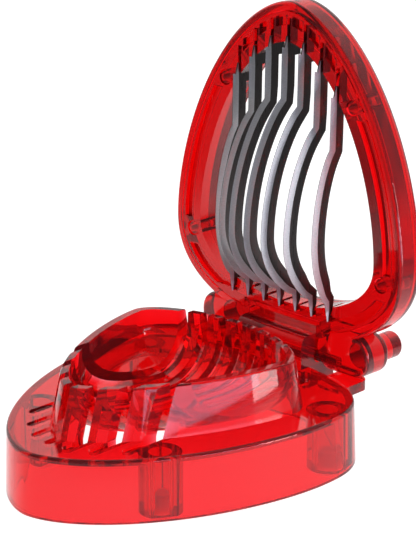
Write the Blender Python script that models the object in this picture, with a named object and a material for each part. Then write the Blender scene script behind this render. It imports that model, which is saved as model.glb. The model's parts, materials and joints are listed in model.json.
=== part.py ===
"""A hinged egg slicer: a moulded base with a comb-cut egg cup, and a lid ring that carries seven blades.

Run with: blender --background --python part.py
+X is along the hinge, -Y is the pointed end, +Z is up. The lid stands open.
Lengths below are in millimetres and are turned to metres where a mesh is made.
"""

import math

import bmesh
import bpy
from mathutils import Matrix, Vector

MM = 0.001
GAP = 0.3                     # clearance between pieces that touch

# Outlines: half width, reach to the pointed end, reach to the hinge end, exponents of the two halves
DECK_HALF_WIDTH = 38.1
DECK_FRONT = 60.9
DECK_REAR = 25.3
FRONT_POWER = 1.73
REAR_POWER = 2.8
OUTLINE_STEPS = 80

# Base
RIM_Z = 0.6                   # the feet hold the skirt's rim this far off the table
DECK_Z = 16.6
SKIRT_DRAFT = 0.6             # the skirt is this much wider at the rim than at the deck
SKIRT_WALL = 2.0
DECK_THICKNESS = 2.0
DECK_EDGE_RADIUS = 0.8

# Egg cup that stands on the deck
CUP_TOP_Z = 28.9
CUP_HALF_WIDTH = 27.0         # at the top
CUP_FRONT = 47.5
CUP_REAR = 12.9
CUP_FLARE_SIDE = 2.2          # growth from the top down to the deck
CUP_FLARE_FRONT = 3.4
CUP_FLARE_REAR = 2.3
CUP_FRONT_POWER = 1.5
CUP_REAR_POWER = 1.8
CUP_WALL = 2.4
CUP_ROOF = 5.3                # plastic left above the hollow inside the cup's wall
CUP_RIM_RADIUS = 0.5
BOWL_WALL = 2.15
BOWL_CENTRE_Y = -6.0
BOWL_DEPTH = 15.8
BOWL_POWER = 2.6
BOWL_RINGS = 9

# Blades and the slots that they pass through
BLADES = 7
BLADE_PITCH = 5.5
BLADE_THICKNESS = 0.5
BLADE_WIDTH = 4.6
BLADE_PROUD = 2.3             # the straight ends stand this far out of the lid's face
BULGE_PROUD = (7.9, 12.2, 14.4, 14.8)   # outermost blade to middle blade
BULGE_TOP = (55.6, 60.5, 64.6, 65.6)    # where each bulge starts, from the hinge axis
TIP_REACH = (71.5, 76.9, 80.3, 81.1)    # blade tips, from the hinge axis
BULGE_CENTRE = 33.0
BULGE_HEEL = 17.0             # from the bulge's deepest point down to its foot
BULGE_POWER = 0.8
TAIL_END = 11.2               # the tails end this far from the hinge axis
TAIL_WIDTH = 2.3
TAIL_PROUD = 1.4
TIP_CORNER = 1.0              # the cutting edge stops this far short of the tip
TANG_LENGTH = 4.0
TANG_DEPTH = 4.3              # how far the tang sits behind the lid's face
TANG_SHOULDER = 1.2
TIP_PROUD = 0.2
SLOT_WIDTH = 2.3
SLOT_END_ROOM = 1.5           # slot beyond the blade tip
SLOT_REAR_Y = 18.4

# Lid
LID_THICKNESS = 8.7
LID_MARGIN = 0.6              # the lid is this much wider than the deck
LID_REAR = 24.0
LID_REAR_POWER = 2.3
LID_WALL = 2.2
LID_BACK = 1.8
LID_BACK_RADIUS = 2.6
LID_FACE_RADIUS = 0.9
APERTURE_HALF_WIDTH = 29.8
APERTURE_FRONT = 51.4
APERTURE_REAR = 15.8
APERTURE_FRONT_POWER = 1.75
APERTURE_REAR_POWER = 2.1
GROOVE_INSETS = (3.4, 5.9)    # the retainer's pockets lie between these insets from the lid's outline
GROOVE_DEPTH = 1.2
GROOVE_SPANS = ((11.5, 20.2), (27.2, 64.0))     # side pockets, reach from the hinge axis
GROOVE_RIB = 1.1              # from a blade's plane to the pocket beside it
POSTS = ((32.3, 24.3), (21.4, 66.8))            # across, reach from the hinge axis
POST_RADIUS = 1.7

# Hinge
OPEN_ANGLE = 91.0             # from closed to the open stop
HINGE_Y = 28.1
HINGE_Z = DECK_Z + GAP + 1.95
KNUCKLE_HALF = 11.2
KNUCKLE_TOP = 6.4             # above the hinge axis
KNUCKLE_FRONT = 6.6           # ahead of the hinge axis
KNUCKLE_REAR = 5.7
KNUCKLE_CORNER = 2.5
KNUCKLE_DROP = 7.0            # the knuckle's root reaches this far below the deck
CHEEK_GAP = 0.5
CHEEK_INNER = KNUCKLE_HALF + CHEEK_GAP
CHEEK_OUTER = 28.9
CHEEK_RADIUS = 4.9
CHEEK_REACH = 8.3
CHEEK_BOTTOM = 2.2            # below the axis when open
CHEEK_FACE_RADIUS = 1.2
NOTCH_REACH = 8.5             # the lid ring keeps this far from the axis between the cheeks
NOTCH_WALL = 1.2
PIN_RADIUS = 1.5
PIN_END_RIGHT = 18.5
PIN_END_LEFT = 26.5
PEG_X = 22.1
PEG_RADIUS = 3.5
PEG_OFFSET = 2.1              # peg axis above the hinge axis when open
PEG_LENGTH = 9.0
PEG_END_RADIUS = 0.6
TAB_X = (17.5, 26.5)
TAB_REAR_Y = 30.2
TAB_THICKNESS = 2.6
TAB_GAP = 0.5                 # under the cheeks of the opened lid
TAB_ROOT = 6.0                # the tabs are joined to the deck over this length
TAB_RADIUS = 2.5

# Feet
BOSS_RADIUS = 5.2
BOSS_BORE = 2.75
BOSS_INSET = 5.6              # boss axis in from the deck's edge
BOSS_FRONT_Y = -37.5
BOSS_REAR_Y = 8.6
FOOT_PAD_RADIUS = 4.0
FOOT_PAD = 0.9
FOOT_STEM = 5.0
FOOT_EDGE_RADIUS = 0.25

LID_FACE = -(HINGE_Z - DECK_Z - GAP)    # lid heights are measured from the hinge axis, lid closed
LID_TOP = LID_FACE + LID_THICKNESS


def egg(half_width, front, rear, front_power, rear_power, centre_y=0.0, steps=OUTLINE_STEPS):
    """Points of an egg outline: a superellipse half to each side of its widest line."""
    points = []
    for step in range(steps):
        angle = 2 * math.pi * (step + 0.5) / steps
        across, along = math.cos(angle), math.sin(angle)
        power = rear_power if along > 0 else front_power
        reach = rear if along > 0 else front
        x = half_width * math.copysign(abs(across) ** (2 / power), across)
        y = reach * math.copysign(abs(along) ** (2 / power), along)
        points.append((x, centre_y + y))
    return points


def stadium(x, half_width, y_front, y_rear, steps=5):
    """Points of a slot outline with round ends."""
    points = []
    for centre, start in ((y_rear - half_width, 0.0), (y_front + half_width, math.pi)):
        for step in range(steps + 1):
            angle = start + math.pi * step / steps
            points.append((x + half_width * math.cos(angle), centre + half_width * math.sin(angle)))
    return points


def rounded_box(x0, x1, y0, y1, radius, steps=5):
    """Points of a rectangle whose corners are arcs."""
    corners = ((x1, y1, -1, -1, 0), (x0, y1, 1, -1, 90), (x0, y0, 1, 1, 180), (x1, y0, -1, 1, 270))
    points = []
    for x, y, in_x, in_y, start in corners:
        for step in range(steps + 1):
            angle = math.radians(start + 90 * step / steps)
            cx, cy = x + in_x * radius, y + in_y * radius
            points.append((cx + radius * math.cos(angle), cy + radius * math.sin(angle)))
    return points


def circle(x, y, radius, steps=24):
    """Points of a circle."""
    return [(x + radius * math.cos(2 * math.pi * step / steps),
             y + radius * math.sin(2 * math.pi * step / steps)) for step in range(steps)]


def stack_mesh(name, rings, matrix=None, bevels=()):
    """A closed mesh through outlines at rising heights; bevels round the rim of a given ring."""
    mesh = bmesh.new()
    outline, height = rings[0]
    verts = [mesh.verts.new((x * MM, y * MM, height * MM)) for x, y in outline]
    face = mesh.faces.new(verts)
    ring_edges = [list(face.edges)]       # the first face moves up as it is extruded
    for outline, height in rings[1:]:
        grown = bmesh.ops.extrude_discrete_faces(mesh, faces=[face])
        face = grown["faces"][0]
        for vert, (x, y) in zip(face.verts, outline):
            vert.co = Vector((x, y, height)) * MM
        ring_edges.append(list(face.edges))
    mesh.faces.new(verts)
    bmesh.ops.recalc_face_normals(mesh, faces=mesh.faces)
    for ring, width, segments in bevels:
        edges = [edge for edge in ring_edges[ring] if edge.is_valid]
        bmesh.ops.bevel(mesh, geom=edges, offset=width * MM, segments=segments,
                        profile=0.5, affect="EDGES", clamp_overlap=True)
    if matrix:
        bmesh.ops.transform(mesh, matrix=matrix, verts=mesh.verts)
    bmesh.ops.recalc_face_normals(mesh, faces=mesh.faces)
    data = bpy.data.meshes.new(name)
    mesh.to_mesh(data)
    mesh.free()
    return data


class Builder:
    """Collections, materials and parents that the pieces share."""

    def __init__(self, name):
        for old in list(bpy.data.objects):
            bpy.data.objects.remove(old, do_unlink=True)
        self.parts = self.collection(name)
        self.cutters = self.collection(name + "_cutters")
        self.cutters.hide_render = True

    @staticmethod
    def collection(name):
        made = bpy.data.collections.new(name)
        bpy.context.scene.collection.children.link(made)
        return made

    def part(self, name, data, material, parent):
        data.materials.append(material)
        made = bpy.data.objects.new(name, data)
        made.parent = parent
        self.parts.objects.link(made)
        return made

    def cutter(self, name, data, parent):
        made = bpy.data.objects.new("cut_" + name, data)
        made.parent = parent
        made.hide_render = True
        made.display_type = "WIRE"
        self.cutters.objects.link(made)
        return made

    def empty(self, name, location, parent=None, tilt=0.0):
        made = bpy.data.objects.new(name, None)
        made.location = Vector(location) * MM
        made.rotation_euler.x = tilt
        made.parent = parent
        self.parts.objects.link(made)
        return made


def boolean(target, tool, operation):
    step = target.modifiers.new(operation.lower() + "_" + tool.name, "BOOLEAN")
    step.object = tool
    step.operation = operation
    step.solver = "EXACT"


def material(name, colour, roughness, metallic=0.0):
    made = bpy.data.materials.new(name)
    made.use_nodes = True
    shader = made.node_tree.nodes["Principled BSDF"]
    shader.inputs["Base Color"].default_value = (*colour, 1.0)
    shader.inputs["Roughness"].default_value = roughness
    shader.inputs["Metallic"].default_value = metallic
    made.diffuse_color = (*colour, 1.0)
    return made


def deck_outline(grow=0.0):
    return egg(DECK_HALF_WIDTH + grow, DECK_FRONT + grow, DECK_REAR + grow, FRONT_POWER, REAR_POWER)


def cup_outline(height, inset=0.0):
    """The cup's outside at a height; it flares evenly towards the deck."""
    flare = (CUP_TOP_Z - height) / (CUP_TOP_Z - DECK_Z)
    return egg(CUP_HALF_WIDTH + CUP_FLARE_SIDE * flare - inset,
               CUP_FRONT + CUP_FLARE_FRONT * flare - inset,
               CUP_REAR + CUP_FLARE_REAR * flare - inset,
               CUP_FRONT_POWER, CUP_REAR_POWER)


def bowl_rings(wall, rim_z):
    """Rings of the bowl, bottom first: wall 0 is its inside, a wall gives its underside."""
    rim = cup_outline(CUP_TOP_Z, CUP_WALL - wall)
    depth = BOWL_DEPTH + wall
    rings = []
    for ring in range(BOWL_RINGS):
        turn = math.pi / 2 * (ring + 0.35) / (BOWL_RINGS - 0.65)
        shrink = math.sin(turn) ** (2 / BOWL_POWER)
        drop = math.cos(turn) ** (2 / BOWL_POWER) if ring < BOWL_RINGS - 1 else 0.0
        outline = [(x * shrink, BOWL_CENTRE_Y + (y - BOWL_CENTRE_Y) * shrink) for x, y in rim]
        rings.append((outline, CUP_TOP_Z - depth * drop))
    rings.append((rim, rim_z))
    return rings


def edge_x(y, inset):
    """Half width of the deck at a place along it, less an inset square to the edge."""
    power = REAR_POWER if y > 0 else FRONT_POWER
    reach = DECK_REAR if y > 0 else DECK_FRONT
    share = (abs(y) / reach) ** power
    x = DECK_HALF_WIDTH * (1 - share) ** (1 / power)
    slope = DECK_HALF_WIDTH / reach * share / (abs(y) / reach) * (x / DECK_HALF_WIDTH) ** (1 - power)
    return x - inset * math.hypot(1, slope)


def boss_places():
    for name, y in (("front", BOSS_FRONT_Y), ("rear", BOSS_REAR_Y)):
        for side, sign in (("left", -1), ("right", 1)):
            yield f"{name}_{side}", sign * edge_x(y, BOSS_INSET), y


def blade_places():
    """Each blade's number, place across, and which of the four blade shapes it has."""
    middle = BLADES // 2
    for number in range(BLADES):
        yield number + 1, (number - middle) * BLADE_PITCH, middle - abs(number - middle)


def axle(name, x0, x1, radius, steps=32):
    """A cylinder along X, centred on the origin's axis."""
    turned = Matrix.Rotation(math.radians(90), 4, "Y")
    return stack_mesh(name, [(circle(0, 0, radius, steps), x0), (circle(0, 0, radius, steps), x1)], turned)


def base_tray(kit, plastic, origin):
    """One moulding: skirt and deck, cup, knuckle, tabs and bosses, hollow from below."""
    skirt = stack_mesh("base_tray", [(deck_outline(SKIRT_DRAFT), RIM_Z), (deck_outline(), DECK_Z)],
                       bevels=((1, DECK_EDGE_RADIUS, 2),))
    base = kit.part("base_tray", skirt, plastic, origin)

    cup_foot = DECK_Z - DECK_THICKNESS / 2
    cup = kit.cutter("cup", stack_mesh("cup", [
        (cup_outline(DECK_Z), cup_foot), (cup_outline(DECK_Z), DECK_Z),
        (cup_outline(CUP_TOP_Z), CUP_TOP_Z)], bevels=((2, CUP_RIM_RADIUS, 1),)), origin)
    boolean(base, cup, "UNION")

    # The hollow under the deck goes up inside the cup's wall, round the bowl and the bosses
    ceiling = DECK_Z - DECK_THICKNESS
    hollow = kit.cutter("hollow", stack_mesh("hollow", [
        (deck_outline(SKIRT_DRAFT - SKIRT_WALL), RIM_Z - 1), (deck_outline(-SKIRT_WALL), ceiling)]), origin)
    cup_hollow_top = CUP_TOP_Z - CUP_ROOF
    cup_hollow = kit.cutter("cup_hollow", stack_mesh("cup_hollow", [
        (cup_outline(DECK_Z, CUP_WALL), ceiling - 2), (cup_outline(DECK_Z, CUP_WALL), DECK_Z),
        (cup_outline(cup_hollow_top, CUP_WALL), cup_hollow_top)]), origin)
    boolean(hollow, cup_hollow, "UNION")
    boolean(hollow, kit.cutter("bowl_under", stack_mesh(
        "bowl_under", bowl_rings(BOWL_WALL, CUP_TOP_Z + 1)), origin), "DIFFERENCE")
    column_foot = FOOT_PAD + GAP
    for name, x, y in boss_places():
        column = stack_mesh("boss", [(circle(x, y, BOSS_RADIUS), column_foot),
                                     (circle(x, y, BOSS_RADIUS), DECK_Z)])
        boolean(hollow, kit.cutter("boss_" + name, column, origin), "DIFFERENCE")
    boolean(base, hollow, "DIFFERENCE")

    boolean(base, kit.cutter("bowl", stack_mesh(
        "bowl", bowl_rings(0.0, CUP_TOP_Z + 1)), origin), "DIFFERENCE")
    for name, x, y in boss_places():
        bore_top = DECK_Z - DECK_THICKNESS
        bore = stack_mesh("bore", [(circle(x, y, BOSS_BORE, 20), -1), (circle(x, y, BOSS_BORE, 20), bore_top)])
        boolean(base, kit.cutter("bore_" + name, bore, origin), "DIFFERENCE")
    add_hinge_knuckle(kit, base, origin)
    for number, x, shape in blade_places():
        front = HINGE_Y - TIP_REACH[shape] - SLOT_END_ROOM
        slot = stadium(x, SLOT_WIDTH / 2, front, SLOT_REAR_Y)
        data = stack_mesh("slot", [(slot, -1), (slot, CUP_TOP_Z + 1)])
        boolean(base, kit.cutter(f"slot_{number}", data, origin), "DIFFERENCE")
    return base


def add_hinge_knuckle(kit, base, origin):
    """The knuckle on the hinge axis and the two stop tabs."""
    to_axis = Matrix.Translation(Vector((0, HINGE_Y, HINGE_Z)) * MM)
    # the profile is (height, reach forward); this turns the stack to run along X
    upright = to_axis @ Matrix(((0, 0, 1, 0), (0, -1, 0, 0), (1, 0, 0, 0), (0, 0, 0, 1)))
    root = DECK_Z - KNUCKLE_DROP - HINGE_Z
    profile = rounded_box(root, KNUCKLE_TOP, -KNUCKLE_REAR, KNUCKLE_FRONT, KNUCKLE_CORNER)
    data = stack_mesh("knuckle", [(profile, -KNUCKLE_HALF), (profile, KNUCKLE_HALF)], upright)
    boolean(base, kit.cutter("knuckle", data, origin), "UNION")
    tab_top = HINGE_Z - CHEEK_BOTTOM - TAB_GAP
    for side in (-1, 1):
        x0, x1 = sorted((side * TAB_X[0], side * TAB_X[1]))
        tab = rounded_box(x0, x1, DECK_REAR - TAB_ROOT, TAB_REAR_Y, TAB_RADIUS)
        data = stack_mesh("tab", [(tab, tab_top - TAB_THICKNESS), (tab, tab_top)])
        boolean(base, kit.cutter(f"tab_{side}", data, origin), "UNION")
    bore = kit.cutter("pin_bore", axle("pin_bore", -KNUCKLE_HALF - 2, KNUCKLE_HALF + 2, PIN_RADIUS + GAP), origin)
    bore.data.transform(to_axis)
    boolean(base, bore, "DIFFERENCE")


def lid_egg(inset=0.0, rear=LID_REAR):
    """The lid's outline, measured from the hinge axis with the lid closed."""
    return egg(DECK_HALF_WIDTH + LID_MARGIN - inset, DECK_FRONT + LID_MARGIN - inset, rear - inset,
               FRONT_POWER, LID_REAR_POWER, -HINGE_Y)


def aperture_outline(grow=0.0):
    return egg(APERTURE_HALF_WIDTH + grow, APERTURE_FRONT + grow, APERTURE_REAR + grow,
               APERTURE_FRONT_POWER, APERTURE_REAR_POWER, -HINGE_Y)


def post_places():
    for end, (x, reach) in zip(("low", "high"), POSTS):
        for side, sign in (("left", -1), ("right", 1)):
            yield f"{end}_{side}", sign * x, -reach


def groove_outline(sign, near, far, steps=12):
    """A pocket in the retainer's face, from one reach to another beside the aperture."""
    points = []
    for inset, order in zip(GROOVE_INSETS, (1, -1)):
        line = []
        for step in range(steps + 1):
            y = HINGE_Y - near - (far - near) * step / steps
            reach, power = (LID_REAR, LID_REAR_POWER) if y > 0 else (DECK_FRONT + LID_MARGIN, FRONT_POWER)
            share = 1 - (abs(y) / (reach - inset)) ** power
            x = (DECK_HALF_WIDTH + LID_MARGIN - inset) * share ** (1 / power)
            line.append((sign * x, y - HINGE_Y))
        points += line[::order]
    return points


def rib_pocket(x0, x1, steps=3):
    """A pocket between two blades near the lid's tip."""
    points = []
    for inset, order in zip(GROOVE_INSETS, (1, -1)):
        line = []
        for step in range(steps + 1):
            x = x0 + (x1 - x0) * step / steps
            share = 1 - (abs(x) / (DECK_HALF_WIDTH + LID_MARGIN - inset)) ** FRONT_POWER
            y = -(DECK_FRONT + LID_MARGIN - inset) * share ** (1 / FRONT_POWER)
            line.append((x, y - HINGE_Y))
        points += line[::order]
    return points


def notch_box(wall):
    """The space between the cheeks that the knuckle turns in."""
    half = CHEEK_INNER + wall
    return [(half, -NOTCH_REACH - wall), (half, 10), (-half, 10), (-half, -NOTCH_REACH - wall)]


def cheek_outline(side, grow=0.0):
    """One of the two solid blocks beside the knuckle that the pin goes through."""
    x0, x1 = sorted((side * (CHEEK_INNER - grow), side * (CHEEK_OUTER + grow)))
    return rounded_box(x0, x1, -CHEEK_REACH - grow, CHEEK_BOTTOM + grow, CHEEK_RADIUS + grow)


def lid_shell(kit, plastic, hinge):
    """Rim wall, back plate, cheeks and pegs; built closed, and carried open by the hinge empty."""
    ring = stack_mesh("lid_shell", [(lid_egg(), LID_FACE), (lid_egg(), LID_TOP)],
                      bevels=((0, LID_FACE_RADIUS, 1), (1, LID_BACK_RADIUS, 3)))
    shell = kit.part("lid_shell", ring, plastic, hinge)
    cut = [(notch_box(0), LID_FACE - 1), (notch_box(0), LID_TOP + 1)]
    boolean(shell, kit.cutter("notch", stack_mesh("notch", cut), hinge), "DIFFERENCE")
    channel = kit.cutter("channel", stack_mesh("channel", [
        (lid_egg(LID_WALL), LID_FACE - 1), (lid_egg(LID_WALL), LID_TOP - LID_BACK)]), hinge)
    keep = [(notch_box(NOTCH_WALL), LID_FACE - 2), (notch_box(NOTCH_WALL), LID_TOP)]
    boolean(channel, kit.cutter("notch_wall", stack_mesh("notch_wall", keep), hinge), "DIFFERENCE")
    boolean(shell, channel, "DIFFERENCE")
    for side in (-1, 1):
        cheek = cheek_outline(side)
        data = stack_mesh("cheek", [(cheek, LID_FACE), (cheek, LID_TOP)],
                          bevels=((0, CHEEK_FACE_RADIUS, 2), (1, CHEEK_FACE_RADIUS, 2)))
        boolean(shell, kit.cutter(f"cheek_{side}", data, hinge), "UNION")
        peg = circle(side * PEG_X, -PEG_OFFSET, PEG_RADIUS, 28)
        data = stack_mesh("peg", [(peg, LID_TOP - 2), (peg, LID_TOP + PEG_LENGTH)], bevels=((1, PEG_END_RADIUS, 1),))
        boolean(shell, kit.cutter(f"peg_{side}", data, hinge), "UNION")
    for name, x, y in post_places():
        post = circle(x, y, POST_RADIUS)
        data = stack_mesh("post", [(post, LID_FACE + GAP), (post, LID_TOP - LID_BACK / 2)])
        boolean(shell, kit.cutter("post_" + name, data, hinge), "UNION")
    hole = [(aperture_outline(), LID_FACE - 1), (aperture_outline(), LID_TOP + 1)]
    boolean(shell, kit.cutter("aperture", stack_mesh("aperture", hole), hinge), "DIFFERENCE")
    bore = axle("lid_pin_bore", -CHEEK_OUTER - 1, PIN_END_RIGHT + GAP, PIN_RADIUS + GAP)
    boolean(shell, kit.cutter("lid_pin_bore", bore, hinge), "DIFFERENCE")
    return shell


def retainer_outline(inset=0.0):
    return lid_egg(LID_WALL + GAP + inset)


def blade_retainer(kit, plastic, hinge):
    """The ring that fills the shell's channel and holds the blade ends in open slots."""
    top = LID_TOP - LID_BACK - GAP
    ring = stack_mesh("blade_retainer", [(retainer_outline(), LID_FACE), (retainer_outline(), top)])
    retainer = kit.part("blade_retainer", ring, plastic, hinge)
    hole = [(aperture_outline(), LID_FACE - 1), (aperture_outline(), LID_TOP + 1)]
    boolean(retainer, kit.cutter("retainer_hole", stack_mesh("retainer_hole", hole), hinge), "DIFFERENCE")
    wall = NOTCH_WALL + GAP
    keep = [(notch_box(wall), LID_FACE - 2), (notch_box(wall), LID_TOP)]
    boolean(retainer, kit.cutter("retainer_notch", stack_mesh("retainer_notch", keep), hinge), "DIFFERENCE")
    for side in (-1, 1):
        cheek = cheek_outline(side, GAP)
        data = stack_mesh("cheek_room", [(cheek, LID_FACE - 1), (cheek, top + 1)])
        boolean(retainer, kit.cutter(f"cheek_room_{side}", data, hinge), "DIFFERENCE")
    slot_half = BLADE_THICKNESS / 2 + GAP
    slot_top = LID_FACE + TANG_DEPTH + GAP
    for number, x, shape in blade_places():
        reach = TIP_REACH[shape] + TANG_LENGTH + GAP
        slot = [(x + slot_half, -reach), (x + slot_half, -TAIL_END + GAP),
                (x - slot_half, -TAIL_END + GAP), (x - slot_half, -reach)]
        data = stack_mesh("blade_slot", [(slot, LID_FACE - 1), (slot, slot_top)])
        boolean(retainer, kit.cutter(f"blade_slot_{number}", data, hinge), "DIFFERENCE")
    for name, x, y in post_places():
        post_hole = circle(x, y, POST_RADIUS + GAP)
        data = stack_mesh("post_hole", [(post_hole, LID_FACE - 1), (post_hole, top + 1)])
        boolean(retainer, kit.cutter("post_hole_" + name, data, hinge), "DIFFERENCE")
    pockets = [groove_outline(sign, *span) for sign in (-1, 1) for span in GROOVE_SPANS]
    pockets += [rib_pocket(x + GROOVE_RIB, x + BLADE_PITCH - GROOVE_RIB)
                for number, x, shape in blade_places() if number < BLADES]
    for index, pocket in enumerate(pockets):
        data = stack_mesh("pocket", [(pocket, LID_FACE - 1), (pocket, LID_FACE + GROOVE_DEPTH)])
        boolean(retainer, kit.cutter(f"pocket_{index}", data, hinge), "DIFFERENCE")
    return retainer


def cutting_edge(shape):
    """Points (reach from the axis, height out of the lid's face), tip end first."""
    points = [(TIP_REACH[shape] - TIP_CORNER, BLADE_PROUD), (BULGE_TOP[shape], BLADE_PROUD)]
    crown = BULGE_PROUD[shape] - BLADE_PROUD
    for half, start, count in ((BULGE_TOP[shape] - BULGE_CENTRE, 1.0, 10), (BULGE_HEEL, 0.0, 9)):
        for step in range(1, count):
            share = start - step / count if start else step / count
            sign = 1 if start else -1
            height = BLADE_PROUD + crown * (1 - share ** 2) ** BULGE_POWER
            points.append((BULGE_CENTRE + sign * half * share, height))
        if start:
            points.append((BULGE_CENTRE, BULGE_PROUD[shape]))
    points.append((BULGE_CENTRE - BULGE_HEEL, BLADE_PROUD))
    points.append((TAIL_END, TAIL_PROUD))
    return points


def back_edge(edge):
    """The cutting edge moved square to itself by the strip's width, narrowing in the tail."""
    points = []
    for index, (reach, height) in enumerate(edge):
        before = edge[max(index - 1, 0)]
        after = edge[min(index + 1, len(edge) - 1)]
        along = Vector((after[0] - before[0], after[1] - before[1])).normalized()
        share = min(max((reach - TAIL_END - 2) / 8, 0.0), 1.0)
        width = TAIL_WIDTH + (BLADE_WIDTH - TAIL_WIDTH) * share
        points.append((reach - along.y * width, height + along.x * width))
    return points


def blade(kit, steel, hinge, number, x, shape):
    """A flat strip bent to follow the bowl, with a tang at the tip end that the retainer grips."""
    edge = cutting_edge(shape)
    back = back_edge(edge)
    tip = TIP_REACH[shape]
    root = tip - TIP_CORNER - BLADE_WIDTH
    tang = [(root, BLADE_PROUD - BLADE_WIDTH), (root, -TANG_DEPTH),
            (tip + TANG_LENGTH, -TANG_DEPTH), (tip + TANG_LENGTH, -TANG_SHOULDER), (tip, TIP_PROUD)]
    outline = edge + back[:1:-1] + tang
    rings = [(outline, x - BLADE_THICKNESS / 2), (outline, x + BLADE_THICKNESS / 2)]
    # outline (reach, height, across) becomes (across, -reach, lid face - height)
    place = Matrix(((0, 0, 1, 0), (-1, 0, 0, 0), (0, -1, 0, LID_FACE * MM), (0, 0, 0, 1)))
    return kit.part(f"blade_{number}", stack_mesh(f"blade_{number}", rings, place), steel, hinge)


def foot(kit, silicone, origin, name, x, y):
    """A soft pad with a stem that is pressed up into a boss."""
    stem = BOSS_BORE - GAP
    rings = [(circle(x, y, FOOT_PAD_RADIUS), 0), (circle(x, y, FOOT_PAD_RADIUS), FOOT_PAD)]
    data = stack_mesh("foot_" + name, rings, bevels=((0, FOOT_EDGE_RADIUS, 1),))
    made = kit.part("foot_" + name, data, silicone, origin)
    rings = [(circle(x, y, stem, 20), FOOT_PAD / 2), (circle(x, y, stem, 20), FOOT_PAD + FOOT_STEM)]
    boolean(made, kit.cutter("stem_" + name, stack_mesh("stem", rings), origin), "UNION")
    return made


def main():
    kit = Builder("egg_slicer")
    red = material("red_styrene", (0.62, 0.01, 0.02), 0.08)
    steel = material("stainless_steel", (0.6, 0.6, 0.61), 0.3, 1.0)
    silicone = material("clear_silicone", (0.8, 0.76, 0.75), 0.5)

    # The origin stands under the middle of the open slicer's length
    tilt = math.radians(OPEN_ANGLE - 90)
    peg_end = LID_TOP + PEG_LENGTH
    rear = HINGE_Y + peg_end * math.cos(tilt) + (PEG_OFFSET + PEG_RADIUS) * math.sin(tilt)
    front = -(DECK_FRONT + SKIRT_DRAFT)
    origin = kit.empty("origin", (0, -(front + rear) / 2, 0))
    hinge = kit.empty("lid_hinge", (0, HINGE_Y, HINGE_Z), origin, -math.radians(OPEN_ANGLE))

    base_tray(kit, red, origin)
    for name, x, y in boss_places():
        foot(kit, silicone, origin, name, x, y)
    pin = axle("hinge_pin", -PIN_END_LEFT, PIN_END_RIGHT, PIN_RADIUS, 24)
    pin.transform(Matrix.Translation(Vector((0, HINGE_Y, HINGE_Z)) * MM))
    kit.part("hinge_pin", pin, steel, origin)
    lid_shell(kit, red, hinge)
    blade_retainer(kit, red, hinge)
    for number, x, shape in blade_places():
        blade(kit, steel, hinge, number, x, shape)


main()
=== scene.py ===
# %% [markdown]
# # A hinged egg slicer in clear red plastic
# The slicer has a hollow base with an egg cup cut into comb fingers, and a lid ring that carries seven
# steel strips. Its measured solids come first, as a frame that gives every piece its place and its hinge.
# The solids are coarse on purpose, because they are made for motion. The pieces below are finer ones of
# the same size, with rounded edges, ground blade edges and real finishes, and each stands for its solid.
# Everything is drawn in millimetres, because that is how a mould maker thinks, and is turned to metres
# only where a mesh is made.

# %% Load the frame
import json
import math

import bmesh
import bpy
from mathutils import Matrix, Vector


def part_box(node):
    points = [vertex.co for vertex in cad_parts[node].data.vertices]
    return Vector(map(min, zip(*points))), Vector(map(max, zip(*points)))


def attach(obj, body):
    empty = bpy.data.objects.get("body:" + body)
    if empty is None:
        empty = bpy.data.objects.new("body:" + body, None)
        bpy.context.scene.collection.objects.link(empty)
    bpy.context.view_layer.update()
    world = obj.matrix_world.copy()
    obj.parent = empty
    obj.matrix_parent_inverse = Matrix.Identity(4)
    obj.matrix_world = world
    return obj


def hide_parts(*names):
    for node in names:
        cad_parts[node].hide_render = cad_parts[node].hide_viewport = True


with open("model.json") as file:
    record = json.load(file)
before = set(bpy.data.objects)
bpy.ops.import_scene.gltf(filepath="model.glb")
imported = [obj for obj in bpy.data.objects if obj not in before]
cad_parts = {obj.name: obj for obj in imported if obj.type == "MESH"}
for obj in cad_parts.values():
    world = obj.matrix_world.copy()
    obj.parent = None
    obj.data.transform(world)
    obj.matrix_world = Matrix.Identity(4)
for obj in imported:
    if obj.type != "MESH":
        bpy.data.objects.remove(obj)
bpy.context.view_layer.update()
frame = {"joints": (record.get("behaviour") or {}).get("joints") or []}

MM = 0.001
hinge = frame["joints"][0]
hinge_at = Vector(hinge["pos_m"]) / MM
open_angle = math.radians(hinge["range_deg"][1])
tray_low, tray_high = (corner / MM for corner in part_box("base_tray"))
shell_low, shell_high = (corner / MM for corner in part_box("lid_shell"))
print("hinge axis at", tuple(round(v, 2) for v in hinge_at), "mm, open by",
      round(math.degrees(open_angle)), "degrees")

# %% [markdown]
# ## Sizes that several pieces share
# The base's outline is an egg: two halves of a superellipse that meet at the widest line. The pointed half
# is longer and has a lower exponent, which makes it more like a strawberry. The lid has the same outline,
# so that it closes flush. The widest line lies 28.1 mm in front of the hinge. Reaches along the lid are
# measured forward from the hinge, and heights in the lid from the hinge too, as the lid turns about it.

# %% Shared sizes, in millimetres
GAP = 0.3                               # clearance between two mouldings
CUT = 1.0                               # how far a cutter runs past the face that it cuts
WIDE_TO_HINGE = 28.1
FRONT_POWER, REAR_POWER, LID_REAR_POWER = 1.73, 2.8, 2.3
RIM_Z = tray_low.z
DECK_Z = 16.6
CUP_TOP_Z = tray_high.z
SKIRT_DRAFT = 0.6
DECK_HALF = tray_high.x - SKIRT_DRAFT
DECK_FRONT = hinge_at.y - WIDE_TO_HINGE - tray_low.y - SKIRT_DRAFT
DECK_REAR = 25.3
WALL = 2.0
LID_HALF = shell_high.x
LID_FRONT = DECK_FRONT + SKIRT_DRAFT
LID_REAR = 24.0
LID_THICKNESS = 8.7
LID_FACE = DECK_Z + GAP - hinge_at.z    # the face that lies on the deck when the lid is closed
LID_TOP = LID_FACE + LID_THICKNESS
PIN_BORE = 1.8
PITCH = 5.5
SHAPES = (3, 2, 1, 0, 1, 2, 3)          # which blade shape stands at each place; 0 is the middle one
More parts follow.
